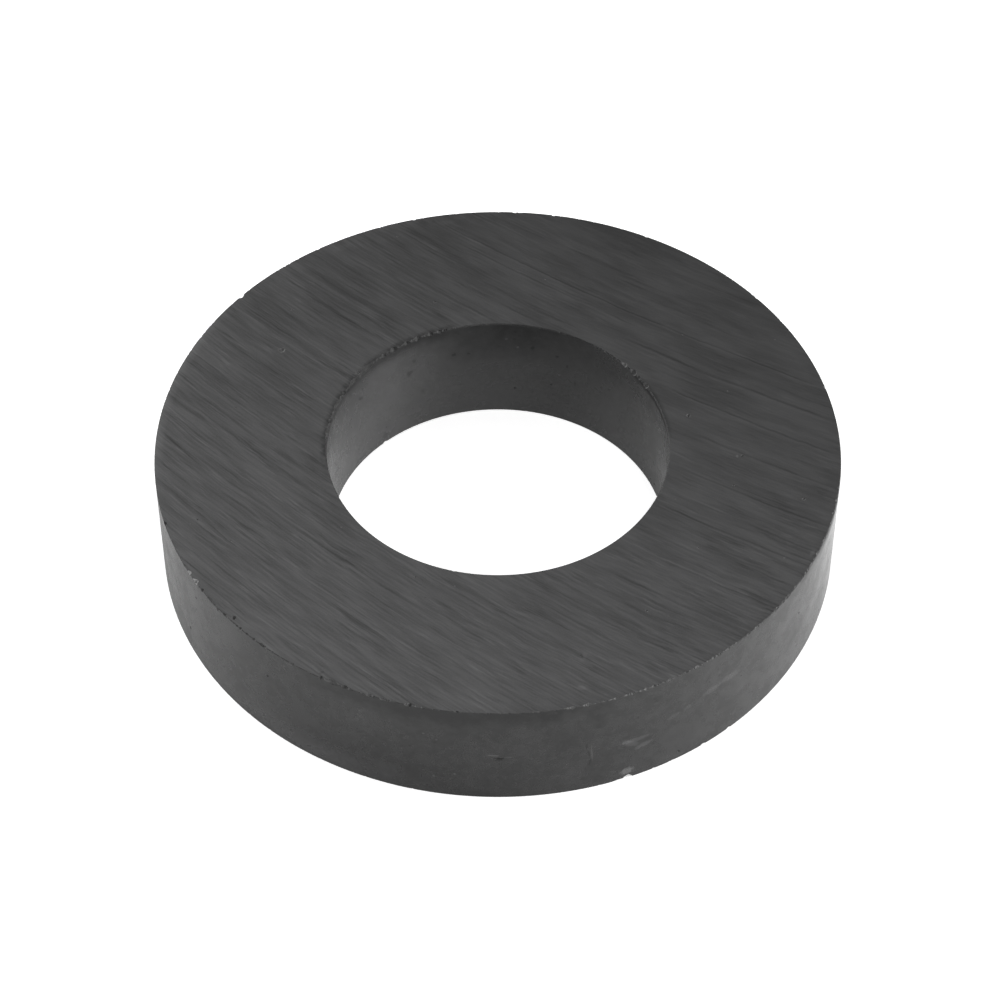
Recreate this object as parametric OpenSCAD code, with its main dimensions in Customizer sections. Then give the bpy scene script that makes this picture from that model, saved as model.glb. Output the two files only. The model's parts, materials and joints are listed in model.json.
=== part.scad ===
// Ferrite ring magnet: one pressed and sintered ceramic ring, magnetised through its thickness.
// Both faces are ground flat. The outer wall and the bore are as they left the kiln.
// The ceramic is brittle, so its edges carry shell-shaped chips and its skin a few open pores.
// The ring lies on its lower face: the origin is that face's centre, and +Z runs up the bore.

/* [Ring] */
// Outer diameter
outer_d = 80; // [60:0.5:120]
// Diameter of the bore
bore_d = 40; // [20:0.5:50]
// Thickness from ground face to ground face
thickness = 15; // [8:0.5:25]

/* [Edges] */
// Width of the worn break along both outer edges
outer_break = 0.06; // [0.02:0.02:0.4]
// Width of the worn break along both ends of the bore
bore_break = 0.12; // [0.02:0.02:0.6]

/* [Wear] */
// Length of the chips along an edge, against the lengths listed below
chip_length_scale = 1; // [0.5:0.1:1.5]
// Depth of the chips, against the depths listed below
chip_depth_scale = 1; // [0.5:0.1:1.5]
// Depth of the pores, against the depths listed below
pore_depth_scale = 1; // [0.5:0.1:1.5]

/* [Hidden] */
outer_r = outer_d / 2;
bore_r = bore_d / 2;
face_w = outer_r - bore_r;

// Chips on an edge: [angle in degrees, length along the edge, depth]. Angles run from +X towards +Y.
UPPER_RIM_CHIPS = [
    [38, 0.9, 0.12], [86, 1.1, 0.10], [141.4, 1.1, 0.36], [198, 0.8, 0.26], [209.6, 0.8, 0.22],
    [211.8, 0.9, 0.34], [214, 0.6, 0.24], [217, 2.6, 0.16], [220.6, 0.7, 0.20], [224.3, 0.6, 0.22],
    [227.5, 0.7, 0.20], [241, 0.6, 0.30], [243, 2.0, 0.28], [245.3, 1.0, 0.24], [249.4, 0.9, 0.26],
    [251.6, 0.7, 0.20], [256, 0.8, 0.34], [263.6, 0.6, 0.14], [287, 0.7, 0.14], [318, 1.0, 0.10],
];
LOWER_RIM_CHIPS = [
    [60, 0.9, 0.22], [128, 1.4, 0.30], [176, 0.7, 0.20], [290.2, 2.9, 0.16], [291.4, 1.2, 0.55],
    [305.5, 0.8, 0.20], [311, 0.7, 0.22], [340, 0.8, 0.16],
];
UPPER_BORE_CHIPS = [
    [29, 1.0, 0.42], [33, 0.6, 0.24], [36.4, 1.1, 0.40], [41, 1.0, 0.30], [52, 0.8, 0.16],
    [110.5, 0.9, 0.26], [113.8, 0.8, 0.30], [118.8, 1.2, 0.32], [123, 0.9, 0.30], [128.4, 1.1, 0.42],
    [132.6, 0.9, 0.36], [141, 2.6, 0.36], [148.6, 1.8, 0.30], [155, 0.8, 0.34], [161.5, 2.2, 0.28],
    [168.6, 0.9, 0.30], [174, 1.4, 0.24],
];
LOWER_BORE_CHIPS = [[15, 0.8, 0.28], [133.8, 0.8, 0.26], [205, 1.2, 0.34]];

// Pores in a ground face: [angle, place from the bore (0) to the rim (1), length, width, depth]
UPPER_FACE_PORES = [
    [149, 0.512, 0.9, 0.7, 0.14], [11.9, 0.147, 0.5, 0.5, 0.16], [356.5, 0.426, 0.4, 0.4, 0.16],
    [346.3, 0.808, 0.4, 0.4, 0.12], [222, 0.974, 0.6, 0.5, 0.22], [303.2, 0.516, 0.3, 0.3, 0.10],
];
LOWER_FACE_PORES = [[74, 0.34, 0.6, 0.5, 0.14], [192, 0.66, 0.8, 0.5, 0.16], [301, 0.22, 0.4, 0.4, 0.14]];

// Pores in the outer wall: [angle, place from the lower (0) to the upper face (1), length, height, depth]
WALL_PORES = [
    [95, 0.62, 0.9, 0.4, 0.20], [207.6, 0.26, 0.4, 0.35, 0.14], [230.1, 0.67, 0.3, 0.3, 0.10],
    [270, 0.466, 1.5, 0.42, 0.28], [300.6, 0.078, 0.36, 0.36, 0.22],
];

// Radius of the round cutter that leaves a scar of this length and depth
function scar_r(length, depth) = (length * length / 4 + depth * depth) / (2 * depth);

// Shell-shaped scar: a ball that sinks to depth below the XY plane at the origin
module shell(length, depth) {
    r = scar_r(length, depth);
    translate([0, 0, r - depth]) sphere(r = r, $fn = 48);
}

// Boat-shaped scar: a ring-shaped cutter that sinks to depth, longest along Y
module boat(length, width, depth) {
    bite_r = scar_r(max(length, width), depth);
    tube_r = min(scar_r(width, depth), bite_r - 0.01);
    translate([0, 0, bite_r - depth])
        rotate([0, 90, 0])
            rotate_extrude($fn = 72) {
                intersection() {
                    translate([bite_r - tube_r, 0]) circle(r = tube_r, $fn = 48);
                    translate([0, -tube_r]) square([bite_r, 2 * tube_r]);
                }
            }
}

// Chips along one edge. lean is the cutter's tilt from +Z, away from the bore's axis.
module edge_chips(chips, edge_r, edge_z, lean) {
    for (chip = chips)
        rotate([0, 0, chip[0]])
            translate([edge_r, 0, edge_z])
                rotate([0, lean, 0])
                    shell(chip[1] * chip_length_scale, chip[2] * chip_depth_scale);
}

// Pores in a ground face, cut from above or, with lean 180, from below
module face_pores(pores, face_z, lean) {
    for (pore = pores)
        rotate([0, 0, pore[0]])
            translate([bore_r + pore[1] * face_w, 0, face_z])
                rotate([0, lean, 0])
                    boat(pore[2], pore[3], pore[4] * pore_depth_scale);
}

// Pores in the outer wall, each lying along it
module wall_pores(pores) {
    for (pore = pores)
        rotate([0, 0, pore[0]])
            translate([outer_r, 0, pore[1] * thickness])
                rotate([0, 90, 0])
                    boat(pore[2], pore[3], pore[4] * pore_depth_scale);
}

// The ring before wear: its section, with a break on each of the four edges, turned about Z
module sound_ring() {
    rotate_extrude($fn = 180)
        polygon([
            [bore_r + bore_break, 0],
            [outer_r - outer_break, 0],
            [outer_r, outer_break],
            [outer_r, thickness - outer_break],
            [outer_r - outer_break, thickness],
            [bore_r + bore_break, thickness],
            [bore_r, thickness - bore_break],
            [bore_r, bore_break],
        ]);
}

module ferrite_ring() {
    color([0.30, 0.30, 0.30])
        difference() {
            sound_ring();
            edge_chips(UPPER_RIM_CHIPS, outer_r, thickness, 45);
            edge_chips(LOWER_RIM_CHIPS, outer_r, 0, 135);
            edge_chips(UPPER_BORE_CHIPS, bore_r, thickness, -45);
            edge_chips(LOWER_BORE_CHIPS, bore_r, 0, -135);
            face_pores(UPPER_FACE_PORES, thickness, 0);
            face_pores(LOWER_FACE_PORES, 0, 180);
            wall_pores(WALL_PORES);
        }
}

ferrite_ring();
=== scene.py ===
"""Ferrite ring magnet: its worn mesh, its four finishes, and the studio that it stands in."""
import json
import math
import random

import bpy
import numpy as np
from bpy.props import FloatProperty, FloatVectorProperty, IntProperty, PointerProperty
from mathutils import Matrix, Vector
from mathutils.geometry import delaunay_2d_cdt


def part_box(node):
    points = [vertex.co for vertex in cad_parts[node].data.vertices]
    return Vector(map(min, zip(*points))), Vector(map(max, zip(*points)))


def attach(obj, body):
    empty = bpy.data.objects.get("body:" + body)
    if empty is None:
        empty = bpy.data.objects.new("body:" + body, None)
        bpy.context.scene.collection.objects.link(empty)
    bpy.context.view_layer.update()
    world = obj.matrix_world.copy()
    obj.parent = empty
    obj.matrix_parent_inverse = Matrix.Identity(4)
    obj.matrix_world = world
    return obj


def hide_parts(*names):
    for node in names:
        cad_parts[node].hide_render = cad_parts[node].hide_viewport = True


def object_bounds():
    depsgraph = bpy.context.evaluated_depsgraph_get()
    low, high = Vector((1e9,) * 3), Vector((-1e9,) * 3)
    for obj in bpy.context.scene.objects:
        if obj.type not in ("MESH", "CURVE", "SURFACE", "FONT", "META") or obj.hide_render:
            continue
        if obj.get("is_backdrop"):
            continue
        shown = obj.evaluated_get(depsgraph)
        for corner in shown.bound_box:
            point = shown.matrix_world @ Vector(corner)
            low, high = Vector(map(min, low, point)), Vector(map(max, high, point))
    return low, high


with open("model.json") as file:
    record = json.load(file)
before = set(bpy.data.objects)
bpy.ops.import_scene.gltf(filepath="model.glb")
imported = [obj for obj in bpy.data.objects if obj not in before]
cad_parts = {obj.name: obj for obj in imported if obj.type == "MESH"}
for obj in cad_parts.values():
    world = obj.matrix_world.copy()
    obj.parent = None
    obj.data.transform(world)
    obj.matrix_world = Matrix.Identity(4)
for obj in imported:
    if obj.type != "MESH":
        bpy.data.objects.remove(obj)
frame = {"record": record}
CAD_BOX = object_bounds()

bl_info = {
    "name": "Ring Magnet",
    "version": (1, 0, 0),
    "blender": (4, 5, 0),
    "location": "View3D > Sidebar > Ring Magnet",
    "description": "Builds a ground and chipped ferrite ring magnet and its studio",
    "category": "Object",
}

MM = 0.001
CAD_NODE = "ferrite_ring"
MOUNTS = {mount["name"]: mount for mount in frame["record"]["mounts"]}

# ---- Wear, in mm and degrees. Angles run from +X towards +Y. The first lists are the solid's own. ----

# Chips on an edge: (angle, length along the edge, depth, how light the broken ceramic is; below zero, dark).
# Above zero, partly its fresh tone and partly painted glints on its facets; below zero, partly its own tone
# and partly painted shadow
UPPER_RIM_CHIPS = (
    (38, 0.9, 0.12, 0), (86, 1.1, 0.1, 0), (141.4, 1.1, 0.36, 0), (198, 0.8, 0.26, 0),
    (209.6, 0.8, 0.22, 4.5), (211.8, 0.9, 0.34, 4.5), (214, 0.6, 0.24, 0.3), (217, 2.6, 0.16, 0.1),
    (220.6, 0.7, 0.2, 0.3), (224.3, 0.6, 0.22, 0.3), (227.5, 0.7, 0.2, 0.4), (241, 0.6, 0.3, 0.3),
    (243, 2, 0.28, 0.4), (245.3, 1, 0.24, 0), (249.4, 0.9, 0.26, 0.5), (251.6, 0.7, 0.2, 0.6),
    (256, 0.8, 0.34, 0.4), (263.6, 0.6, 0.14, 0), (287, 0.7, 0.14, 0), (318, 1, 0.1, 0),
)
LOWER_RIM_CHIPS = (
    (60, 0.9, 0.22, 0), (128, 1.4, 0.3, 0), (176, 0.7, 0.2, 0), (290.2, 2.9, 0.16, 0),
    (291.4, 1.2, 0.55, 2.5), (305.5, 0.8, 0.2, 0), (311, 0.7, 0.22, 0), (340, 0.8, 0.16, 0),
)
# Along the bore's edge at the back left, the chips are painted dark: partly their own tone, partly painted
# shadow
UPPER_BORE_CHIPS = (
    (29, 1, 0.42, 0.6), (33, 0.6, 0.24, 0.4), (36.4, 1.1, 0.4, 0.6), (41, 1, 0.3, 1.6), (52, 0.8, 0.16, 0),
    (110.5, 0.9, 0.26, -0.3), (113.8, 0.8, 0.3, -0.3), (118.8, 1.2, 0.32, -0.3), (123, 0.9, 0.3, -0.3),
    (128.4, 1.1, 0.42, -0.3), (132.6, 0.9, 0.36, -0.3), (141, 2.6, 0.36, -0.5), (148.6, 1.8, 0.3, -0.5),
    (155, 0.8, 0.34, -0.5), (161.5, 2.2, 0.28, -0.5), (168.6, 0.9, 0.3, -0.5), (174, 1.4, 0.24, -0.5),
)
LOWER_BORE_CHIPS = ((15, 0.8, 0.28, 0), (133.8, 0.8, 0.26, 0), (205, 1.2, 0.34, 0))

# Pores in a ground face: (angle, place from the bore 0 to the rim 1, length, width, depth)
UPPER_FACE_PORES = (
    (149, 0.512, 0.9, 0.7, 0.14), (11.9, 0.147, 0.5, 0.5, 0.16), (356.5, 0.426, 0.4, 0.4, 0.16),
    (346.3, 0.808, 0.4, 0.4, 0.12), (222, 0.974, 0.6, 0.5, 0.22), (303.2, 0.516, 0.3, 0.3, 0.1),
)
LOWER_FACE_PORES = ((74, 0.34, 0.6, 0.5, 0.14), (192, 0.66, 0.8, 0.5, 0.16), (301, 0.22, 0.4, 0.4, 0.14))

# Pores in the outer wall: (angle, place from the lower 0 to the upper face 1, length, height, depth)
WALL_PORES = (
    (95, 0.62, 0.9, 0.4, 0.2), (207.6, 0.26, 0.4, 0.35, 0.14), (230.1, 0.67, 0.3, 0.3, 0.1),
    (270, 0.466, 1.5, 0.42, 0.28), (300.6, 0.078, 0.36, 0.36, 0.22),
)

# Nicks too small for the solid, in spans of an edge:
# (from angle, to angle, nicks per 10 degrees, how large, how light or dark their broken ceramic is, partly
# its own tone and partly painted glints and painted shadow)
UPPER_RIM_NICKS = (
    (10, 176, 5, 1.1, 0), (192, 213, 10, 1.2, 0.4), (213, 230, 12, 1.3, 0.1), (230, 246, 9, 1.1, 0.3),
    (246, 256, 12, 1.2, 0.4), (256, 280, 12, 1.1, 0.2), (280, 294, 16, 1.4, 0.6), (294, 352, 16, 1.5, 0.3),
)
LOWER_RIM_NICKS = ((10, 176, 2.5, 1, 0), (192, 352, 3, 1, 0.2))
UPPER_BORE_NICKS = (
    (12, 30, 3, 1, -0.3), (30, 46, 6, 1.2, 0.1), (46, 64, 6, 0.8, 0.4), (64, 108, 4, 0.7, 0),
    (108, 180, 10, 1.4, -0.35), (190, 215, 5, 1.2, 0), (215, 330, 3, 1, 0), (330, 358, 3, 1, 0),
)
LOWER_BORE_NICKS = ((10, 176, 3, 1, 0), (192, 352, 3, 1, 0))
NICK_LENGTH = (0.16, 0.55)
NICK_SHRINK = (0.7, 1)
NICK_DEPTH_SHARE = (0.18, 0.36)
NICK_LIGHT = 0.3  # how much lighter or darker than its span each may be
NICK_SEED = 11
FACE_PORE_LIT = 0.25  # how light the inside of a pore in a ground face is: painted light in its hollow

# Pinholes too small for the solid: how many on each surface
PINHOLES = {"upper": 26, "lower": 26, "outer": 34, "bore": 16}
PINHOLE_LENGTH = (0.14, 0.34)
PINHOLE_WIDTH_SHARE = (0.6, 1)
PINHOLE_DEPTH_SHARE = (0.2, 0.35)
PINHOLE_SEED = 5

# Long single grinding lines on the upper face, in the grinding lines' own measure:
# (across, along from, along to, width, how dark; below zero it is light)
LONG_LINES = (
    (33.8, -5, 39, 0.25, 0.5), (31.8, -4, 18, 0.3, 0.35), (28.6, 15, 40, 0.4, 0.5),
    (23.1, 19, 40, 0.3, 0.6), (21, -25, 3, 0.4, 0.35), (17.3, 22, 39, 0.35, 0.5), (16, -20, -5, 0.4, 0.4),
    (11.3, -23, -9, 0.8, 0.35), (10.6, 20, 37, 0.3, 0.6), (8.6, 30, 36, 0.4, 0.5),
    (6.8, -24, -12, 0.4, 0.7), (3.2, 18, 34, 0.3, 0.7), (1.2, -27, -21, 0.7, 0.45),
    (-4.4, -30, -18, 0.4, 0.5), (-11.2, 10, 27, 0.4, 0.45), (-13.7, -26, -20, 0.4, 0.5),
    (-17.7, 14, 23, 0.3, 0.5), (-19, 14, 23, 0.3, 0.5), (-22.7, -37, -20, 0.5, 0.5),
    (-26.9, -22, 16, 0.35, 0.45), (-30.1, -6, 11, 0.3, 0.4), (-32.6, -37, -9, 0.5, 0.6),
    (-33.7, -30, -16, 0.3, 0.5), (-38.9, -23, -4, 0.3, 0.5), (-39.7, -39, -34, 0.5, 0.6),
    (-46.9, -32, -21, 0.4, 0.5), (27, 5, 11, 0.3, -0.5), (6.3, 20, 28, 0.3, -0.6),
    (-1.3, -28, -18, 0.3, -0.4), (-5.3, 15, 30, 0.25, -0.5), (-12.5, -32, -21, 0.3, -0.4),
    (-19.6, -27, -20, 0.3, -0.5), (-22.9, -24, -19, 0.25, -0.5), (-42.5, -37, -32, 0.4, -1),
    (-49.8, -30, -18, 0.3, -0.5), (-50.2, -36, -34, 0.4, -1),
)

# Stains and rubbed spots, and on the outer wall some painted shadows and a painted highlight:
# (angle, radius or height, length, height, tilt in degrees, how light; below zero, dark)
FACE_MARKS = (
    (286.4, 33.4, 0.7, 1.5, -20, 0.3), (286.2, 33.2, 0.3, 0.7, 10, -0.5), (284.1, 37.5, 1, 0.6, -15, 0.5),
    (334.7, 39.4, 1, 0.5, 60, 0.6), (240.6, 39.3, 0.7, 0.35, 30, -0.6), (356.3, 27.9, 0.35, 0.4, 0, 1),
    (346.3, 36.3, 0.3, 0.3, 0, 1.2), (149, 30.6, 0.9, 0.35, 40, 0.25), (72, 21.4, 3, 0.8, -20, 0.15),
    (95, 21.2, 2.4, 0.7, 0, 0.15), (120, 38.6, 2.4, 1, 35, 0.15), (100, 38.5, 3, 0.8, 10, 0.15),
)
OUTER_MARKS = (
    (230.2, 10.1, 0.3, 0.3, 0, 1.6), (208.2, 4.6, 0.9, 0.6, 0, -0.6), (234.9, 14.6, 1.1, 0.18, 10, 1),
    (233.9, 13.6, 0.2, 0.9, 15, 0.8), (225.1, 5.3, 1, 0.6, 10, -0.5), (269.2, 7.6, 1.3, 0.2, -4, 1),
    (271.8, 7.3, 1, 0.16, 0, 0.6), (255.9, 7.9, 0.4, 0.35, 0, -0.9), (248, 7.4, 0.4, 0.35, 0, -0.8),
    (261.4, 4.8, 0.35, 0.35, 0, -0.9), (259.7, 3.1, 0.3, 0.3, 0, 1.2), (263.1, 3.9, 0.3, 0.3, 0, 1.2),
    (260.3, 9.7, 0.35, 0.3, 0, 0.8), (258.2, 10.5, 0.3, 0.3, 0, 0.7), (291.6, 6.2, 2.6, 0.9, -35, 0.5),
    # From 284.2 to 285.1 degrees: a narrow pore painted as three dark dashes of painted shade, with a painted
    # highlight on its lip
    (293.9, 5.2, 2.4, 0.8, 15, 0.6), (292.6, 6.6, 3.6, 0.7, 0, 0.5), (284.2, 7.6, 0.25, 1.4, 0, -0.9),
    (284.6, 6.2, 0.25, 1.3, 12, -0.9), (284.8, 4.8, 0.25, 1.4, -10, -0.9), (285.1, 6.2, 0.2, 3, 4, 0.5),
    (299.2, 8.2, 1.8, 0.7, 10, 0.3), (301.8, 8.6, 1.2, 0.6, 0, 0.3), (306.5, 9.4, 2.6, 0.9, 8, 0.4),
    # At 260.9, 265, 277.5 and 243 degrees, just under the rim: dark smears of painted shadow
    (310.6, 9.6, 3, 1.1, -5, 0.4), (260.9, 13.9, 3, 0.6, -4, -0.6), (265, 13.9, 1.8, 0.5, 0, -0.6),
    (277.5, 14, 1.6, 0.5, 0, -0.6), (243, 13.6, 4, 0.5, 4, -0.4), (300.6, 1.2, 0.8, 0.6, 0, -0.6),
    (291.2, 1.3, 1.6, 1.2, 10, 1.4),
)
BORE_MARKS = (
    (122.4, 9.6, 0.9, 1.1, 20, -0.5), (120.5, 11.4, 0.5, 0.6, 0, -0.4), (117.4, 5.7, 0.6, 0.7, 0, -0.6),
    (145.4, 11, 0.9, 0.5, 35, -0.5), (105.6, 10.5, 0.6, 0.5, 0, -0.5), (133.8, 1.2, 0.9, 0.9, 0, -0.5),
    (65.1, 9.6, 0.35, 0.5, 0, -0.6), (61.9, 7.1, 0.35, 0.8, 0, -0.6), (77.8, 11.4, 0.5, 0.5, 0, -0.6),
    (68.9, 10.8, 0.5, 0.4, 0, -0.6), (83.1, 11.2, 0.35, 0.4, 0, 0.8), (68.3, 7.7, 0.35, 0.4, 0, 0.8),
    (87.1, 12.5, 0.4, 0.4, 0, 0.5), (37.9, 9.1, 0.8, 1, 20, -0.4), (172, 9, 2.6, 5, 0, 0.35),
    (150, 6.5, 1.2, 0.7, 0, 0.2),
)

# ---- The grinding pass, in mm and degrees: a wheel much larger than the ring, fed past it in a line ----
WHEEL_RADIUS = 302.3
WHEEL_OFFSET = 186.6
FEED_ANGLE = 92.3


# ==== Settings ====

LENGTH = {"unit": "LENGTH", "subtype": "DISTANCE", "precision": 4}
SMALL_LENGTH = {**LENGTH, "precision": 5}
COLOUR = {"size": 3, "min": 0, "max": 1, "subtype": "COLOR"}


class RingShape(bpy.types.PropertyGroup):
    """Sizes of the ring and of its wear"""

    outer_radius: FloatProperty(
        name="Outer radius", description="Radius of the outer wall",
        default=MOUNTS["outer_wall"]["dims"]["r_mm"] * MM, min=0.03, max=0.06, **LENGTH)
    bore_radius: FloatProperty(
        name="Bore radius", description="Radius of the bore",
        default=MOUNTS["bore"]["dims"]["r_mm"] * MM, min=0.01, max=0.025, **LENGTH)
    thickness: FloatProperty(
        name="Thickness", description="Height from ground face to ground face",
        default=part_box(CAD_NODE)[1].z, min=0.008, max=0.025, **LENGTH)
    outer_break: FloatProperty(
        name="Outer edge break", description="Width of the worn break along both outer edges",
        default=0.06 * MM, min=0.02 * MM, max=0.4 * MM, **SMALL_LENGTH)
    bore_break: FloatProperty(
        name="Bore edge break", description="Width of the worn break along both ends of the bore",
        default=0.12 * MM, min=0.02 * MM, max=0.6 * MM, **SMALL_LENGTH)
    wall_columns: IntProperty(
        name="Wall columns", description="Columns of faces round the outer wall",
        default=720, min=180, max=1440)


class RingFinish(bpy.types.PropertyGroup):
    """Colours of the ceramic"""

    ground: FloatVectorProperty(
        name="Ground face", description="Colour of the two ground faces",
        default=(0.031, 0.031, 0.0314), **COLOUR)
    fired: FloatVectorProperty(
        name="Fired wall", description="Colour of the outer wall, as it left the kiln",
        default=(0.018, 0.018, 0.0182), **COLOUR)
    bore: FloatVectorProperty(
        name="Bore wall", description="Colour of the bore's wall, as it left the kiln",
        default=(0.06, 0.06, 0.0604), **COLOUR)
    broken: FloatVectorProperty(
        name="Broken ceramic", description="Colour of the ceramic inside chips and pores",
        default=(0.055, 0.055, 0.055), **COLOUR)


class Studio(bpy.types.PropertyGroup):
    """Camera and floor"""

    camera_distance: FloatProperty(
        name="Camera distance", description="From the middle of the upper face to the camera", default=0.3772,
        min=0.2, max=2, **LENGTH)
    camera_elevation: FloatProperty(
        name="Camera elevation", description="Height of the camera above the upper face, as an angle",
        default=0.817, min=0.1, max=1.5, unit="ROTATION", subtype="ANGLE")
    lens: FloatProperty(
        name="Focal length", description="Focal length on a sensor 36 mm wide", default=116.3,
        min=20, max=300, unit="CAMERA")
    floor_colour: FloatVectorProperty(
        name="Floor", description="Colour of the floor", default=(0.85, 0.85, 0.85), **COLOUR)


# ==== Mesh ====

MEAN_RADIUS = 30.0  # mm, turns an angle into the flat plan's length
FIRST_TURN = 4.0  # degrees: the plan starts here, and no chip crosses here or opposite
SEAM = math.radians(FIRST_TURN)
PLAN_LENGTH = 2 * math.pi * MEAN_RADIUS


class Section:
    """The ring's section as a path round its skin, in mm, from half-way up the bore and back to it."""

    def __init__(self, shape):
        outer, bore, height = (size / MM for size in (shape.outer_radius, shape.bore_radius, shape.thickness))
        outer_break, bore_break = shape.outer_break / MM, shape.bore_break / MM
        self.outer, self.bore, self.height = outer, bore, height
        self.corners = np.array([
            (bore, height / 2),
            (bore, height - bore_break),
            (bore + bore_break, height),
            (outer - outer_break, height),
            (outer, height - outer_break),
            (outer, outer_break),
            (outer - outer_break, 0),
            (bore + bore_break, 0),
            (bore, bore_break),
            (bore, height / 2),
        ])
        steps = np.linalg.norm(np.diff(self.corners, axis=0), axis=1)
        self.marks = np.concatenate([[0], np.cumsum(steps)])
        self.length = self.marks[-1]

    def skin(self, plan):
        """Points of the sound skin, before wear, from points of the flat plan."""
        turn = SEAM + plan[:, 0] / MEAN_RADIUS
        radius, height = (np.interp(plan[:, 1], self.marks, values) for values in self.corners.T)
        return np.stack([radius * np.cos(turn), radius * np.sin(turn), height], 1)

    def edge(self, name):
        """Plan height, corner radius, corner height and inward direction (out, up) of one edge."""
        first = {"upper_bore": 1, "upper_rim": 3, "lower_rim": 5, "lower_bore": 7}[name]
        up = -1 if name.startswith("upper") else 1
        out = -1 if name.endswith("rim") else 1
        radius = self.outer if out < 0 else self.bore
        height = self.height if up < 0 else 0.0
        middle = (self.marks[first] + self.marks[first + 1]) / 2
        return middle, radius, height, np.array([out, up]) / math.sqrt(2)

    def part(self, corners):
        """Which part of the section each triangle of the plan lies in: 0 to 8, from corner to corner."""
        return np.searchsorted(self.marks, corners[:, :, 1].mean(1)) - 1


def turn_frame(angle):
    """Outward and along-the-edge directions at an angle in degrees."""
    turn = math.radians(angle)
    return np.array([math.cos(turn), math.sin(turn), 0]), np.array([-math.sin(turn), math.cos(turn), 0])


def plan_x(angle):
    """Place of an angle in degrees along the flat plan."""
    return math.radians((angle - FIRST_TURN) % 360) * MEAN_RADIUS


SCAR_REACH = 1.5  # how far a scar may reach from its middle, against half its longer side
RIPPLES = 5  # waves in a scar's floor
RIPPLE_DEPTH = 0.035  # of each, against the scar's depth
BOWL_SHARE = 0.3  # of the depth that follows a smooth bowl, where the rest follows flat facets
CHIP_FACETS, NICK_FACETS, PORE_FACETS = 7, 5, 8


class Scar:
    """One chip or pore. It knows how deep it cuts below the sound skin, and its own outline on the plan."""

    def __init__(self, section, angle, plan_y, corner, inward, size, facets, rng, lit=0.0):
        length, width, depth = size
        self.lit = lit
        outward, self.tangent = turn_frame(angle)
        self.inward = outward * inward[0] + np.array([0, 0, inward[1]])
        self.cross = np.cross(self.inward, self.tangent)
        self.corner = outward * corner[0] + np.array([0, 0, corner[1]])
        self.section, self.depth = section, depth
        self.middle = np.array([plan_x(angle), plan_y])
        self.shrink = MEAN_RADIUS / corner[0]
        self.half = np.array([length, width]) / 2
        self.reach = SCAR_REACH * max(length, width) / 2 + 0.05
        self.waves = rng.normal(size=(RIPPLES, 2)) * (2.2 / self.half)
        self.phases = rng.uniform(0, 2 * math.pi, RIPPLES)
        turns = rng.uniform(0, 2 * math.pi) + np.arange(facets) * 2 * math.pi / facets
        turns += rng.uniform(-0.35, 0.35, facets)
        spots = rng.uniform(0.45, 0.8, facets)[:, None] * np.stack([np.cos(turns), np.sin(turns)], 1)
        self.spots = np.vstack([rng.uniform(-0.15, 0.15, (1, 2)), spots])
        self.lifts = rng.uniform(-0.16, 0.02, len(self.spots))

    def cut(self, points):
        """Depth of the cut below each point of the sound skin, along inward. Below zero is outside."""
        away = points - self.corner
        place = np.stack([away @ self.tangent, away @ self.cross], 1) / self.half
        bowl = 1 - (place ** 2).sum(1)
        facets = 1 + (self.spots ** 2).sum(1) - 2 * place @ self.spots.T + self.lifts
        ripple = np.sin(place * self.half @ self.waves.T + self.phases).sum(1) * RIPPLE_DEPTH
        floor = self.depth * (BOWL_SHARE * bowl + (1 - BOWL_SHARE) * facets.min(1) + ripple)
        return floor - away @ self.inward

    def plan_points(self, turns, spans):
        """Points of the plan in these directions from the scar's middle, at these true distances."""
        steps = np.stack([np.cos(turns) * self.shrink, np.sin(turns)], 1)
        return self.middle + steps * np.asarray(spans)[:, None]

    def outline(self, count):
        """Directions, and how far the cut reaches in each."""
        turns = np.arange(count) * 2 * math.pi / count
        near, far = np.zeros(count), np.full(count, self.reach)
        for _ in range(24):
            half = (near + far) / 2
            inside = self.cut(self.section.skin(self.plan_points(turns, half))) > 0
            near, far = np.where(inside, half, near), np.where(inside, far, half)
        return turns, near

    def crossing(self, along):
        """Close points inside the scar on the line that crosses it at this height of the plan."""
        steps = np.arange(-self.reach, self.reach, OUTLINE_STEP) * self.shrink + self.middle[0]
        line = np.stack([steps, np.full(len(steps), along)], 1)
        return line[self.cut(self.section.skin(line)) > 0]

    def near(self, plan, margin=0.0):
        """Indices of the points of the plan that the scar may reach."""
        span = self.reach * np.array([self.shrink, 1]) + margin
        return np.flatnonzero((np.abs(plan - self.middle) < span).all(1))

    def holds(self, plan, margin):
        """Which points of the plan lie in the scar or within a margin of it."""
        found = np.zeros(len(plan), bool)
        near = self.near(plan, margin)
        if len(near):
            found[near] = self.cut(self.section.skin(plan[near])) > -margin
        return found


def edge_scars(section, edge, chips, facets, seed):
    """Scars on an edge from chips as (angle, length, depth, how light)."""
    rng = np.random.default_rng(seed)
    plan_y, radius, height, inward = section.edge(edge)
    for angle, length, depth, lit in chips:
        scar_radius = (length * length / 4 + depth * depth) / (2 * depth)
        width = 2 * math.sqrt(2 * scar_radius * depth)
        yield Scar(section, angle, plan_y, (radius, height), inward, (length, width, depth), facets, rng, lit)


def face_scars(section, upper, pores, facets, seed):
    """Scars in a ground face from pores as (angle, share of its width, length, width, depth)."""
    rng = np.random.default_rng(seed)
    corner = section.corners[3 if upper else 6]
    for angle, share, length, width, depth in pores:
        radius = section.bore + share * (section.outer - section.bore)
        gone = corner[0] - radius
        plan_y = section.marks[3] - gone if upper else section.marks[6] + gone
        inward = np.array([0, -1 if upper else 1])
        size = (length, width, depth)
        yield Scar(section, angle, plan_y, (radius, corner[1]), inward, size, facets, rng, FACE_PORE_LIT)


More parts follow.
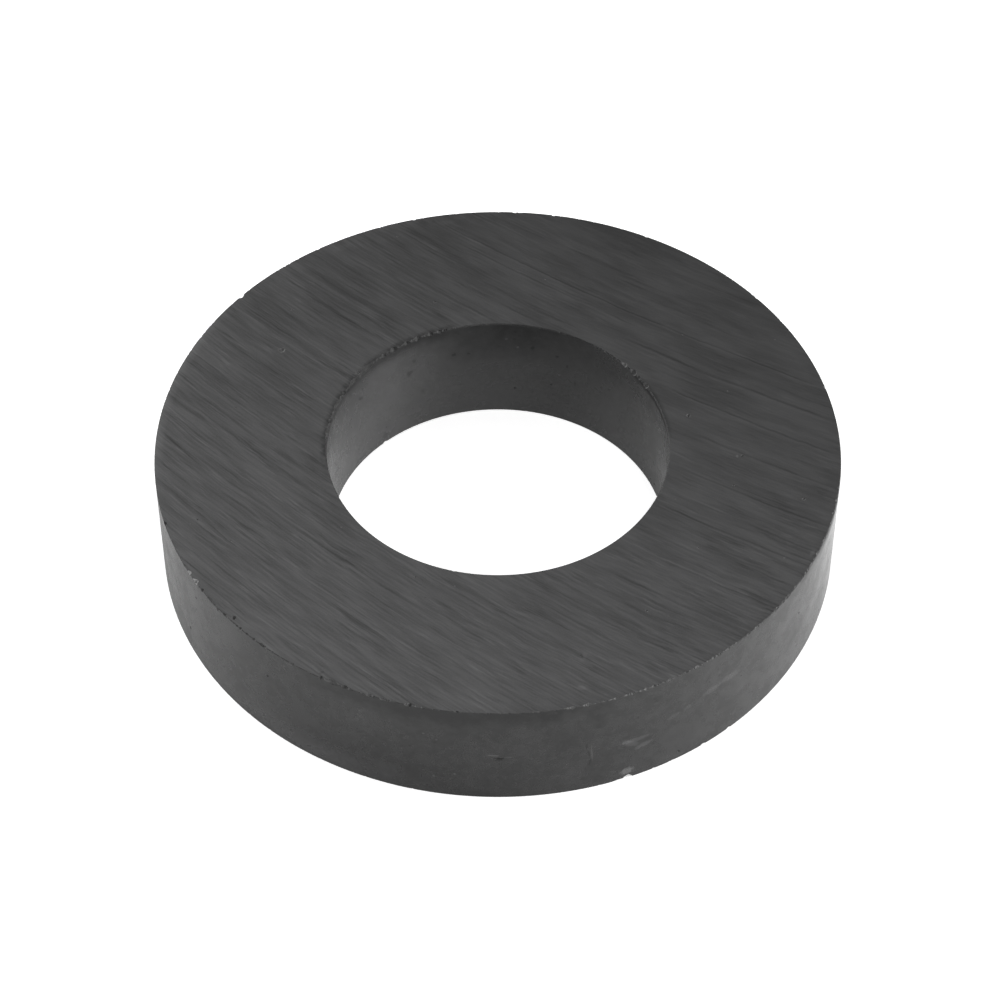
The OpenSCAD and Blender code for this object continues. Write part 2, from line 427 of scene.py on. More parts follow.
def wall_scars(section, outer, pores, facets, seed):
    """Scars in a wall from pores as (angle, share of its height, length, height, depth)."""
    rng = np.random.default_rng(seed)
    for angle, share, length, height, depth in pores:
        z = share * section.height
        radius = section.outer if outer else section.bore
        plan_y = section.marks[5] - (z - section.corners[5][1]) if outer else z - section.height / 2
        plan_y = plan_y if plan_y >= 0 else plan_y + section.length
        inward = np.array([-1 if outer else 1, 0])
        yield Scar(section, angle, plan_y, (radius, z), inward, (length, height, depth), facets, rng)


def nicks(spans, rng):
    """Small chips at random places in spans of an edge, as (angle, length, depth, how light)."""
    for start, end, density, size, light in spans:
        for _ in range(round((end - start) / 10 * density)):
            length = rng.uniform(*NICK_LENGTH) * rng.uniform(*NICK_SHRINK) * size
            depth = length * rng.uniform(*NICK_DEPTH_SHARE)
            yield rng.uniform(start, end), length, depth, light + rng.uniform(-NICK_LIGHT, NICK_LIGHT)


def pinholes(count, rng):
    """Small pores at random places of a surface, as (angle, share, length, width, depth)."""
    for _ in range(count):
        length = rng.uniform(*PINHOLE_LENGTH)
        angle = rng.choice((8, 188)) + rng.uniform(0, 172)  # clear of both seams
        share = rng.choice((0.07, 0.55)) + rng.uniform(0, 0.38)
        width = length * rng.uniform(*PINHOLE_WIDTH_SHARE)
        yield angle, share, length, width, length * rng.uniform(*PINHOLE_DEPTH_SHARE)


def all_scars(section):
    """The solid's chips and pores, then the nicks and pinholes that are too small for it."""
    scars = []
    edges = (
        ("upper_rim", UPPER_RIM_CHIPS, UPPER_RIM_NICKS),
        ("lower_rim", LOWER_RIM_CHIPS, LOWER_RIM_NICKS),
        ("upper_bore", UPPER_BORE_CHIPS, UPPER_BORE_NICKS),
        ("lower_bore", LOWER_BORE_CHIPS, LOWER_BORE_NICKS),
    )
    rng = random.Random(NICK_SEED)
    for seed, (edge, chips, spans) in enumerate(edges):
        scars += edge_scars(section, edge, chips, CHIP_FACETS, seed)
        scars += edge_scars(section, edge, nicks(spans, rng), NICK_FACETS, seed + 10)
    rng = random.Random(PINHOLE_SEED)
    faces = ((True, UPPER_FACE_PORES, PINHOLES["upper"]), (False, LOWER_FACE_PORES, PINHOLES["lower"]))
    for seed, (upper, pores, count) in enumerate(faces):
        scars += face_scars(section, upper, pores, PORE_FACETS, seed + 20)
        scars += face_scars(section, upper, pinholes(count, rng), NICK_FACETS, seed + 30)
    scars += wall_scars(section, True, WALL_PORES, PORE_FACETS, 40)
    scars += wall_scars(section, True, pinholes(PINHOLES["outer"], rng), NICK_FACETS, 41)
    scars += wall_scars(section, False, pinholes(PINHOLES["bore"], rng), NICK_FACETS, 42)
    return scars


OUTLINE_STEP = 0.07  # mm between points of a scar's outline
RING_STEP = 0.09  # mm between rings of points inside it
ROW_MARGIN = 0.03  # mm of cut below which a row's points keep clear of a scar


class Plan:
    """Points and lines of the flat plan that is cut into triangles."""

    def __init__(self):
        self.points, self.lines = [], []

    def add(self, points, closed=None):
        """Adds points, and a line through them if closed is True or False."""
        first, count = len(self.points), len(points)
        self.points.extend(map(tuple, points))
        if closed is not None:
            last = count if closed else count - 1
            self.lines.extend((first + i, first + (i + 1) % count) for i in range(last))


def row_heights(section, columns):
    """Rows of the plan as (place along the section, columns, whether a line runs along it)."""
    marks = section.marks
    rows = []
    surfaces = (
        (0, 1, 4, columns // 2), (2, 3, 9, columns // 4), (4, 5, 8, columns), (6, 7, 9, columns // 4),
        (8, 9, 4, columns // 2),
    )
    for start, end, steps, count in surfaces:
        half_wall = start in (0, 8)
        for step in range(1, steps):
            share = step / steps
            if half_wall:  # close steps beside the edge only
                share = math.sin(share * math.pi / 2) if start == 0 else 1 - math.cos(share * math.pi / 2)
            else:
                share = (1 - math.cos(share * math.pi)) / 2
            rows.append((marks[start] + (marks[end] - marks[start]) * share, count, False))
    rows += [(marks[i], columns, True) for i in range(1, 9)]
    rows += [(marks[i], columns // 2, True) for i in (0, 9)]
    return rows


def flat_plan(section, scars, columns):
    """Plan with its rows, its seams, and the outline and inside of each scar."""
    plan = Plan()
    for along, count, line in row_heights(section, columns):
        row = np.stack([np.linspace(0, PLAN_LENGTH, count + 1), np.full(count + 1, along)], 1)
        keep = np.ones(len(row), bool)
        crossings = []
        for scar in scars:
            keep &= ~scar.holds(row, ROW_MARGIN)
            if line and abs(scar.middle[1] - along) < scar.reach:
                crossings.append(scar.crossing(along))
        keep[[0, count // 2, -1]] = True
        row = np.concatenate([row[keep], *crossings])
        plan.add(row[np.argsort(row[:, 0])], False if line else None)
    heights = sorted({along for along, _, _ in row_heights(section, columns)})
    for x in (0, PLAN_LENGTH / 2, PLAN_LENGTH):
        plan.add([(x, along) for along in heights], False)
    for scar in scars:
        around = 2 * math.pi * scar.half.mean()
        count = min(56, max(10, 2 * round(around / OUTLINE_STEP / 2)))
        turns, spans = scar.outline(count)
        plan.add(scar.plan_points(turns, spans), True)
        rings = max(1, round(scar.half.mean() / RING_STEP))
        for ring in range(1, rings + 1):
            share = ring / (rings + 1)
            keep = slice(None) if share > 0.5 or count < 16 else slice(ring % 2, None, 2)
            plan.add(scar.plan_points(turns[keep], spans[keep] * share))
        plan.add([scar.middle])
    return plan


def worn_skin(section, scars, plan):
    """Points of the worn skin in mm, how deep the wear is at each, and how light or dark its broken ceramic
    is, partly its own tone and partly painted glints and shadow.
    """
    points = section.skin(plan)
    deepest = np.zeros(len(plan))
    lit = np.zeros(len(plan))
    moved = points.copy()
    for scar in scars:
        near = scar.near(plan)
        cut = scar.cut(points[near])
        deeper = cut > deepest[near]
        at = near[deeper]
        deepest[at] = cut[deeper]
        lit[at] = scar.lit
        moved[at] = points[at] + cut[deeper][:, None] * scar.inward
    return moved, deepest, lit


# Strips of the baking map from its foot up: the upper face, the outer wall, the bore and the lower face
STRIP_SCALES = np.array([1.35, 1.2, 0.9, 0.6])
STRIP_OF_PART = np.array([2, 2, 0, 1, 1, 1, 3, 2, 2])
STRIP_GAP = 0.006


def baking_map(section, corners):
    """Where each triangle corner of the plan lies on the baking map: eight long strips."""
    part = section.part(corners)
    strip = STRIP_OF_PART[part]
    starts = section.marks[[2, 3, 7, 6]]
    spans = section.marks[[3, 6, 2, 7]] - starts + np.array([0, 0, section.length, 0])
    tall = spans * STRIP_SCALES
    gaps = 2 * len(tall) + 1
    scale = (1 - STRIP_GAP * gaps) / (2 * tall.sum())
    along = corners[:, :, 1] + (part < 2)[:, None] * section.length
    second = (corners[:, :, 0].mean(1) > PLAN_LENGTH / 2).astype(int)
    base = np.concatenate([[0], np.cumsum(np.concatenate([tall, tall]) * scale + STRIP_GAP)])[:-1] + STRIP_GAP
    base = base[strip + 4 * second]
    v = base[:, None] + (along - starts[strip][:, None]) * (STRIP_SCALES[strip] * scale)[:, None]
    u = (corners[:, :, 0] - second[:, None] * PLAN_LENGTH / 2) / (PLAN_LENGTH / 2)
    return np.stack([STRIP_GAP / 2 + (1 - STRIP_GAP) * u, v], 2)


GROUND, FIRED, BORE, BROKEN = range(4)
FINISH_OF_PART = np.array([BORE, BROKEN, GROUND, BROKEN, FIRED, BROKEN, GROUND, BROKEN, BORE])
BROKEN_DEPTH = 0.004  # mm of wear at which a triangle shows broken ceramic
LIT = "lit_chip"  # face attribute: how light or dark the broken ceramic is, partly its own tone and partly painted glints and painted shadow
SHARP_ANGLE = math.radians(24)
RIM_BREAK_PAINTED_SHADE = -0.1  # how light the worn breaks are along the outer edges; below zero, painted shade
# How light the worn breaks are along the bore's edges; below zero, painted shade
BORE_BREAK_PAINTED_SHADE = -0.45


def sharpen_borders(mesh, finish):
    """Marks sharp every edge where one finish meets another, besides the sharp bends."""
    mesh.set_sharp_from_angle(angle=SHARP_ANGLE)
    edge_of = np.empty(len(mesh.loops), np.int32)
    mesh.loops.foreach_get("edge_index", edge_of)
    around = np.repeat(finish, 3)
    least, most = np.full(len(mesh.edges), 99), np.full(len(mesh.edges), -1)
    np.minimum.at(least, edge_of, around)
    np.maximum.at(most, edge_of, around)
    sharp = np.zeros(len(mesh.edges), bool)
    mesh.edges.foreach_get("use_edge_sharp", sharp)
    mesh.edges.foreach_set("use_edge_sharp", sharp | (least != most))


def ring_mesh(shape):
    """The worn ring: the flat plan is cut into triangles, rolled up, and joined where its ends meet."""
    section = Section(shape)
    scars = all_scars(section)
    plan = flat_plan(section, scars, shape.wall_columns)
    cut = delaunay_2d_cdt([Vector(point) for point in plan.points], plan.lines, [], 0, 1e-5, False)
    points = np.array([tuple(point) for point in cut[0]])
    faces = np.array(cut[2])[:, ::-1]
    worn, depth, lit = worn_skin(section, scars, points)

    # The plan's two ends, and its foot and head, are the same places on the ring.
    same = np.round(np.stack([points[:, 0] % PLAN_LENGTH, points[:, 1] % section.length], 1), 4)
    same[np.isclose(points[:, 0], PLAN_LENGTH, atol=1e-4), 0] = 0
    same[np.isclose(points[:, 1], section.length, atol=1e-4), 1] = 0
    _, first, owner = np.unique(same, axis=0, return_index=True, return_inverse=True)
    joined = owner.reshape(-1)[faces]
    good = (joined[:, 0] != joined[:, 1]) & (joined[:, 1] != joined[:, 2]) & (joined[:, 2] != joined[:, 0])
    faces, joined = faces[good], joined[good]

    mesh = bpy.data.meshes.new("ring_magnet")
    mesh.from_pydata((worn[first] * MM).tolist(), [], joined.tolist())
    corners = points[faces]
    layer = mesh.uv_layers.new(name="OFBake")
    layer.uv.foreach_set("vector", baking_map(section, corners).astype(np.float32).ravel())
    part = section.part(corners)
    chipped = depth[faces].max(1) > BROKEN_DEPTH
    finish = np.where(chipped, BROKEN, FINISH_OF_PART[part])
    mesh.polygons.foreach_set("material_index", finish.astype(np.int32))
    mesh.polygons.foreach_set("use_smooth", np.ones(len(faces), bool))
    light = mesh.attributes.new(LIT, "FLOAT", "FACE")
    # Worn breaks without chips get painted shade
    break_painted_shade = np.where((part > 2) & (part < 6), RIM_BREAK_PAINTED_SHADE, BORE_BREAK_PAINTED_SHADE)
    shown = np.where(chipped, np.median(lit[faces], 1), break_painted_shade)
    light.data.foreach_set("value", shown.astype(np.float32))
    mesh.update()
    sharpen_borders(mesh, finish)
    return mesh


# ==== Finishes ====

# Zones of a surface that are lighter or darker, some worn and some painted light or shade, in mm and degrees:
# (height or radius from, to, from angle, to angle, softness, smooth, how light, how much duller)
FACE_ZONES = (
    (38.9, 39.8, 146, 190, 8, False, 0.7, 0), (39.1, 39.8, 226, 344, 6, False, -0.14, 0),
    (20.6, 20.15, 6, 30, 6, False, -0.6, 0),
)
# Outer wall: painted shade under the rim at the front; near the top edge at the right darker and duller,
# partly worn and partly painted shade; painted light on the foot at the front left
OUTER_ZONES = (
    (11.5, 14.2, 240, 285, 8, True, -1, 0.12), (13.4, 14.9, 332, 356, 10, False, -0.4, 0.3),
    (5, 0.5, 226, 250, 14, True, 4, 0),
)
# Bore wall: darker at the upper back; darker and duller along the top edge at the back left and at the right;
# painted light low on the right side and high on the left side
BORE_ZONES = (
    (7, 12.5, 66, 104, 14, True, -0.3, 0.15), (13.6, 14.7, 112, 190, 8, True, -0.15, 0.3),
    (13.9, 14.8, 6, 34, 6, True, -0.5, 0.3), (12.5, 9, 24, 56, 12, True, 0.6, 0),
    (14.4, 12.5, 114, 142, 14, True, 0.35, 0),
)
DARKEST = 0.06  # share of its colour that the darkest place keeps
WALL_ROUGHNESS = 0.27
GROUND_ROUGHNESS = 0.58
BROKEN_ROUGHNESS = 0.6


class Nodes:
    """Adds nodes to one shader tree and links or sets their inputs."""

    def __init__(self, tree):
        self.tree = tree

    def add(self, kind, inputs=None, **settings):
        made = self.tree.nodes.new("ShaderNode" + kind)
        made.location = (200 * (len(self.tree.nodes) // 5), -180 * (len(self.tree.nodes) % 5))
        for name, value in settings.items():
            setattr(made, name, value)
        for name, value in (inputs or {}).items():
            self.feed(made.inputs[name], value)
        return made

    def feed(self, socket, value):
        if isinstance(value, bpy.types.NodeSocket):
            self.tree.links.new(value, socket)
        else:
            socket.default_value = value

    def math(self, operation, *values, clamp=False):
        return self.add("Math", dict(enumerate(values)), operation=operation, use_clamp=clamp).outputs[0]

    def times(self, *values):
        result = values[0]
        for value in values[1:]:
            result = self.math("MULTIPLY", result, value)
        return result

    def total(self, *terms):
        """Sum of terms. A term may be a value, or a pair of a value and its factor."""
        values = [self.times(*term) if isinstance(term, tuple) else term for term in terms]
        result = values[0]
        for value in values[1:]:
            result = self.math("ADD", result, value)
        return result

    def ramp(self, value, low, high, to_low=0.0, to_high=1.0, smooth=False):
        inputs = {"Value": value, "From Min": low, "From Max": high, "To Min": to_low, "To Max": to_high}
        kind = "SMOOTHSTEP" if smooth else "LINEAR"
        return self.add("MapRange", inputs, interpolation_type=kind, clamp=True).outputs[0]

    def noise(self, place, scale=1.0, detail=2.0, roughness=0.5):
        """Noise about 0, from roughly -1 to 1."""
        inputs = {"Vector": place, "Scale": scale, "Detail": detail, "Roughness": roughness}
        found = self.add("TexNoise", inputs).outputs[0]
        return self.ramp(found, 0.25, 0.75, -1.0, 1.0)

    def vector(self, x, y, z=0.0):
        return self.add("CombineXYZ", {0: x, 1: y, 2: z}).outputs[0]

    def along(self, vector, way):
        """How far a vector reaches along a way."""
        return self.add("VectorMath", {0: vector, 1: way}, operation="DOT_PRODUCT").outputs["Value"]

    def plateau(self, value, soft):
        """Pushes noise about 0 towards -1 and 1, so that it lies in flat patches."""
        return self.ramp(value, -soft, soft, -1.0, 1.0, smooth=True)

    def zone(self, value, low, high, turn, start, end, soft, smooth=False):
        """Mask of an arc of the ring, in degrees, where a value also runs from low to high."""
        level = self.ramp(value, low, high, smooth=smooth)
        rise = self.ramp(turn, start - soft, start + soft)
        fall = self.ramp(turn, end + soft, end - soft)
        return self.times(level, self.times(rise, fall))

    def group(self, name, **inputs):
        made = self.add("Group", node_tree=bpy.data.node_groups[name])
        for socket, value in inputs.items():
            self.feed(made.inputs[socket.replace("_", " ")], value)
        return made.outputs


def renewed(store, name, *kind):
    """A new data block in place of any old one of its name."""
    old = store.get(name)
    if old:
        store.remove(old)
    return store.new(name, *kind)


def new_group(name, takes, gives):
    """An empty shader node group: takes and gives are {socket name: socket type}."""
    tree = renewed(bpy.data.node_groups, name, "ShaderNodeTree")
    for direction, sockets in (("INPUT", takes), ("OUTPUT", gives)):
        for socket, kind in sockets.items():
            tree.interface.new_socket(name=socket, in_out=direction, socket_type="NodeSocket" + kind)
    start, end = tree.nodes.new("NodeGroupInput"), tree.nodes.new("NodeGroupOutput")
    end.location = (1600, 0)
    return Nodes(tree), start.outputs, end.inputs


def build_place_group():
    """Place on the ring in mm, its distance from the axis, its height, and its angle in degrees."""
    nodes, _, end = new_group(
        "Ring Place", {}, {"Place": "Vector", "Radius": "Float", "Height": "Float", "Turn": "Float"})
    here = nodes.add("TexCoord").outputs["Object"]
    place = nodes.add("VectorMath", {0: here, 1: (1 / MM, 1 / MM, 1 / MM)}, operation="MULTIPLY").outputs[0]
    x, y, z = nodes.add("SeparateXYZ", {0: place}).outputs
    nodes.feed(end["Place"], place)
    nodes.feed(end["Radius"], nodes.math("SQRT", nodes.total((x, x), (y, y))))
    nodes.feed(end["Height"], z)
    half_turn = nodes.math("ARCTAN2", nodes.times(y, -1.0), nodes.times(x, -1.0))
    nodes.feed(end["Turn"], nodes.total((half_turn, 180 / math.pi), 180.0))


def build_mark_group():
    """Mask of one small mark with an uneven outline."""
    nodes, start, end = new_group(
        "Small Mark",
        {**dict.fromkeys(("Place", "Middle", "Long Way", "Short Way"), "Vector"), "Uneven": "Float"},
        {"Mask": "Float"})
    off = nodes.add("VectorMath", {0: start["Place"], 1: start["Middle"]}, operation="SUBTRACT").outputs[0]
    ways = [nodes.along(off, start[way]) for way in ("Long Way", "Short Way")]
    far = nodes.total(nodes.math("SQRT", nodes.total(*((way, way) for way in ways))), start["Uneven"])
    nodes.feed(end["Mask"], nodes.ramp(far, 1.2, 0.6, smooth=True))


def build_specks_group():
    """Scattered dots: light ones above zero and dark ones below it."""
    nodes, start, end = new_group(
        "Specks", {"Place": "Vector", "Spacing": "Float", "Share": "Float"}, {"Specks": "Float"})
    scale = nodes.math("DIVIDE", 1.0, start["Spacing"])
    cells = nodes.add("TexVoronoi", {"Vector": start["Place"], "Scale": scale, "Randomness": 1.0}).outputs
    dot = nodes.ramp(cells["Distance"], 0.34, 0.16)
    pick = nodes.add("SeparateColor", {0: cells["Color"]}).outputs
    there = nodes.math("LESS_THAN", pick[0], start["Share"])
    side = nodes.ramp(pick[1], 0.0, 1.0, -1.0, 1.0)
    nodes.feed(end["Specks"], nodes.times(dot, there, side))


def build_grain_group():
    """The ceramic's own grain: fine and coarse noise about 0."""
    nodes, start, end = new_group(
        "Ceramic Grain", {"Place": "Vector", "Fine Size": "Float", "Coarse Size": "Float"},
        {"Fine": "Float", "Coarse": "Float"})
    for name, detail in (("Fine", 2.0), ("Coarse", 3.0)):
        scale = nodes.math("DIVIDE", 1.0, start[name + " Size"])
        nodes.feed(end[name], nodes.noise(start["Place"], scale, detail))


def build_lines_group():
    """How far a point is across the grinding lines, and how far along them, in mm."""
    nodes, start, end = new_group(
        "Grinding Lines", {"Place": "Vector"}, {"Across": "Float", "Along": "Float"})
    place, turn = start["Place"], math.radians(FEED_ANGLE)
    fed = nodes.along(place, (math.cos(turn), math.sin(turn), 0))
    along = nodes.along(place, (math.sin(turn), -math.cos(turn), 0))
    off = nodes.math("SUBTRACT", along, WHEEL_OFFSET)
    sag = nodes.math("SQRT", nodes.math("SUBTRACT", WHEEL_RADIUS ** 2, nodes.times(off, off)))
    level = math.sqrt(WHEEL_RADIUS ** 2 - WHEEL_OFFSET ** 2)
    wander = nodes.total((nodes.noise(place, 0.22, 1.0), 0.12), (nodes.noise(place, 1.3), 0.05))
    nodes.feed(end["Across"], nodes.total(fed, sag, -level, wander))
    nodes.feed(end["Along"], along)


def build_streaks_group():
    """Noise drawn out along the grinding lines."""
    nodes, start, end = new_group(
        "Grinding Streaks",
        dict.fromkeys(("Across", "Along", "Layer", "Width", "Length", "Detail"), "Float"),
        {"Streaks": "Float"})
    place = nodes.vector(
        nodes.math("DIVIDE", start["Across"], start["Width"]),
        nodes.math("DIVIDE", start["Along"], start["Length"]),
        start["Layer"])
    nodes.feed(end["Streaks"], nodes.noise(place, 1.0, start["Detail"]))


def build_long_line_group():
    """One long grinding line: 1 in its furrow, a little below 0 on the lip beside it."""
    nodes, start, end = new_group(
        "Long Grinding Line",
        dict.fromkeys(("Across", "Along", "Place", "Start", "End", "Width"), "Float"), {"Mask": "Float"})
    off = nodes.math("DIVIDE", nodes.math("SUBTRACT", start["Across"], start["Place"]), start["Width"])
    body = nodes.math("SUBTRACT", 1.0, nodes.times(off, off), clamp=True)
    # The lip beside the furrow is a painted highlight of the line's relief; beside a light line it is painted
    # shade
    aside = nodes.total(off, 1.5)
    lip = nodes.math("SUBTRACT", 1.0, nodes.times(aside, aside), clamp=True)
    rise = nodes.math("DIVIDE", nodes.math("SUBTRACT", start["Along"], start["Start"]), 3.0, clamp=True)
    fall = nodes.math("DIVIDE", nodes.math("SUBTRACT", start["End"], start["Along"]), 3.0, clamp=True)
    nodes.feed(end["Mask"], nodes.times(nodes.total(body, (lip, -0.35)), nodes.times(rise, fall)))


def new_material(name):
    material = renewed(bpy.data.materials, name)
    material.use_nodes = True
    material.node_tree.nodes.clear()
    return material, Nodes(material.node_tree)


def finish_material(nodes, colour, shade, roughness, height, bump, shine=0.5):
    """Principled ceramic: shade is how much lighter or darker than colour each place is; bump is in mm."""
    tone = nodes.math("MAXIMUM", nodes.total(1.0, shade), DARKEST)
    mixed = nodes.add("VectorMath", {0: colour, "Scale": tone}, operation="SCALE")
    bumped = nodes.add("Bump", {"Strength": 1.0, "Distance": bump * MM, "Height": height})
    shader = nodes.add("BsdfPrincipled", {
        "Base Color": mixed.outputs[0], "Roughness": roughness, "IOR": 1.5, "Specular IOR Level": shine,
        "Normal": bumped.outputs[0]})
    nodes.add("OutputMaterial", {"Surface": shader.outputs[0]})


def marks_shade(nodes, place, uneven, middles, marks):
    """Sum of the small marks: each is (angle, radius or height, length, height, tilt, how light)."""
    shade = 0.0
    for middle, (_, _, length, height, tilt, light) in zip(middles, marks):
        turn = math.radians(tilt)
        across, up = (math.cos(turn), math.sin(turn)), (-math.sin(turn), math.cos(turn))
        mask = nodes.group(
            "Small Mark", Place=place, Middle=(*middle, 0), Uneven=uneven,
            Long_Way=(across[0] * 2 / length, across[1] * 2 / length, 0),
            Short_Way=(up[0] * 2 / height, up[1] * 2 / height, 0))[0]
        shade = nodes.math("MULTIPLY_ADD", mask, float(light), shade)
    return shade


def zone_terms(nodes, value, turn, zones):
    """Terms of a surface's shade, and of its roughness, from its zones, some worn and some painted light or
    shade.
    """
    shades, roughnesses = [], []
    for low, high, start, end, soft, smooth, light, dull in zones:
        mask = nodes.zone(value, low, high, turn, start, end, soft, smooth)
        shades.append((mask, float(light)))
        if dull:
            roughnesses.append((mask, dull))
    return shades, roughnesses


def ground_material(finish, half_height):
    """Ground faces. The long single lines, the marks and the lighter and darker zones, some of them painted
    shade, are on the upper one only.
    """
    material, nodes = new_material("ground_face")
    place, radius, height, turn = nodes.group("Ring Place")
    across, along = nodes.group("Grinding Lines", Place=place)
    fine, coarse = nodes.group("Ceramic Grain", Place=place, Fine_Size=0.2, Coarse_Size=6.0)
    level = nodes.times(height, 3.0)

    def streaks(layer, width, length, detail=2.0, shift=0.0):
        return nodes.group(
            "Grinding Streaks", Across=nodes.total(across, shift) if shift else across, Along=along,
            Layer=nodes.total(level, layer), Width=width, Length=length, Detail=detail)[0]

    hair = streaks(1.0, 0.4, 1.7)
    band = nodes.plateau(streaks(9.0, 1.6, 7.5), 0.35)
    broad = nodes.plateau(streaks(21.0, 5.0, 10.0), 0.4)
    furrow = streaks(25.0, 0.6, 5.0, 1.0)
    # Painted light and shade of the furrows' relief: one side of each furrow painted lighter and the other
    # darker
    furrow_painted_light = nodes.math("SUBTRACT", furrow, streaks(25.0, 0.6, 5.0, 1.0, 0.24))
    # The cut bit in clusters: long lines, and short dashes between them
    cluster = nodes.ramp(streaks(29.0, 3.0, 8.0), -0.4, 0.4, 0.25, 1.0)
    scuffed = nodes.ramp(streaks(41.0, 2.2, 5.0), -0.3, 0.5, 0.1, 1.0)
    deep = nodes.times(nodes.ramp(streaks(13.0, 0.62, 11.0, 4.0), 0.25, 0.6), cluster)
    dashes = streaks(33.0, 0.34, 2.8, 3.0)
    dark_dash = nodes.times(nodes.ramp(dashes, 0.15, 0.6), scuffed)
    light_dash = nodes.times(nodes.ramp(dashes, -0.25, -0.7), nodes.total(scuffed, 0.2))

    upper = nodes.math("GREATER_THAN", height, half_height)
    single = 0.0
    for line, begin, end, width, darkness in LONG_LINES:
        mask = nodes.group("Long Grinding Line", Across=across, Along=along, Place=line,
                           Start=float(begin), End=float(end), Width=width * 0.7)[0]
        single = nodes.math("MULTIPLY_ADD", mask, -darkness, single)
    single = nodes.times(single, upper, nodes.ramp(hair, -1.0, 0.4, 0.45, 1.0))

    # Rubbed lighter beside the rim at the back, and darker beside the bore at the back left, partly chipped
    # and partly painted shade
    patches = nodes.ramp(nodes.noise(place, 0.55, 3.0), -0.3, 0.5, 0.2, 1.0)
    back_rub = nodes.times(nodes.zone(radius, 37.3, 39.7, turn, 84, 185, 8), patches)
    bore_chips_and_shade = nodes.times(nodes.zone(radius, 20.9, 20.35, turn, 108, 190, 6),
                            nodes.ramp(nodes.noise(place, 1.1), -0.5, 0.4, 0.3, 1.0))
    middles = [(math.cos(math.radians(mark[0])) * mark[1], math.sin(math.radians(mark[0])) * mark[1])
               for mark in FACE_MARKS]
    marks = marks_shade(nodes, place, nodes.times(fine, 0.3), middles, FACE_MARKS)
    zones, _ = zone_terms(nodes, radius, turn, FACE_ZONES)
    extra = nodes.times(nodes.total((back_rub, 0.3), (bore_chips_and_shade, -1.0), *zones, marks), upper)

    # The cut is coarser at the front left and the front right than at the back right
    near_right = nodes.zone(radius, 26, 36, turn, 292, 348, 16)
    rough_cut = nodes.total(nodes.ramp(nodes.along(place, (-0.82, -0.57, 0)), -30, 30, 0.42, 1.5),
                            (near_right, 0.45))
    fine_cut = nodes.total((hair, 0.1), (furrow_painted_light, 0.15), (band, 0.09), (deep, -0.38), (dark_dash, -0.34),
                           (light_dash, 0.4), (fine, 0.1))
    # Painted sheen: the face is painted lighter towards the front left
    towards = nodes.along(place, (-0.005, -0.0115, 0))
    shade = nodes.total((fine_cut, rough_cut), (broad, 0.1), (band, 0.03), (coarse, 0.06), (single, 0.8),
                        towards, extra)
    relief = nodes.total((hair, 0.3), (furrow, 0.4), (deep, -0.6))
    roughness = nodes.total(GROUND_ROUGHNESS, (band, 0.02), (hair, -0.02))
    finish_material(nodes, finish.ground, shade, roughness, relief, bump=0.006)
    return material


def wall_finish(name, marks, zones, radius, spread, uneven):
    """Skin of a wall as it left the kiln: clouds, blotches, grain, specks, marks, and zones, some worn and
    some painted light or shade.
    """
    material, nodes = new_material(name)
    place, _, height, turn = nodes.group("Ring Place")
    fine, coarse = nodes.group("Ceramic Grain", Place=place, Fine_Size=0.3, Coarse_Size=1.2)
    cloud = nodes.noise(place, 0.24, 3.0)
    blotch = nodes.plateau(coarse, 0.6)
    specks = nodes.group("Specks", Place=place, Spacing=0.9, Share=0.35)[0]
    relief = nodes.total(cloud, (blotch, 0.12), (specks, 0.12))
    flat = nodes.vector(nodes.times(turn, math.radians(radius)), height)
    middles = [(math.radians(mark[0]) * radius, mark[1]) for mark in marks]
    spots = marks_shade(nodes, flat, nodes.times(fine, uneven), middles, marks)
    shades, roughnesses = zone_terms(nodes, height, turn, zones)
    shade = nodes.total(
        (cloud, 0.4 * spread), (blotch, 0.2 * spread), (fine, 0.08 * spread), (specks, 0.6 * spread),
        spots, *shades)
    roughness = nodes.total(WALL_ROUGHNESS, (cloud, -0.04), (blotch, -0.015), *roughnesses)
    return material, nodes, height, spots, shade, roughness, relief


def fired_material(finish):
    """Skin of the outer wall, where the light marks stand out."""
    material, nodes, _, marks, shade, roughness, relief = wall_finish(
        "fired_wall", OUTER_MARKS, OUTER_ZONES, radius=40, spread=1.0, uneven=0.3)
    shade = nodes.total(shade, (nodes.math("MAXIMUM", marks, 0.0), 2.0))
    finish_material(nodes, finish.fired, shade, roughness, relief, bump=0.005)
    return material


def bore_material(finish):
    """Skin of the bore's wall, lighter towards its foot."""
    material, nodes, height, _, shade, roughness, relief = wall_finish(
        "bore_wall", BORE_MARKS, BORE_ZONES, radius=20, spread=0.24, uneven=0.35)
    shade = nodes.total(shade, nodes.ramp(height, 1.0, 14.5, 0.7, -0.6))
    finish_material(nodes, finish.bore, shade, roughness, relief, bump=0.0025)
    return material


def broken_material(finish):
    """Rough inside of chips and pores, and the worn breaks along the edges."""
    material, nodes = new_material("broken_ceramic")
    place = nodes.group("Ring Place")["Place"]
    fine, coarse = nodes.group("Ceramic Grain", Place=place, Fine_Size=0.16, Coarse_Size=0.6)
    # How light or dark each chip is: partly its own tone, partly painted glints and painted shadow
    lit = nodes.add("Attribute", attribute_name=LIT).outputs["Fac"]
    shade = nodes.total((fine, 0.3), (coarse, 0.3), (lit, nodes.total(1.1, (coarse, 0.9))))
    roughness = nodes.total(BROKEN_ROUGHNESS, (fine, 0.08))
    finish_material(nodes, finish.broken, shade, roughness, fine, bump=0.03, shine=0.3)
    return material


# ==== Studio ====

AIM_PIXEL = (497.8, 444.8)  # where the middle of the upper face lies in a picture 1000 wide and high
PICTURE_SIZE = 1000
SENSOR_WIDTH = 36.0  # mm
CLIP_SPAN = (0.01, 20)  # metres
AIR_STRENGTH = 0.1


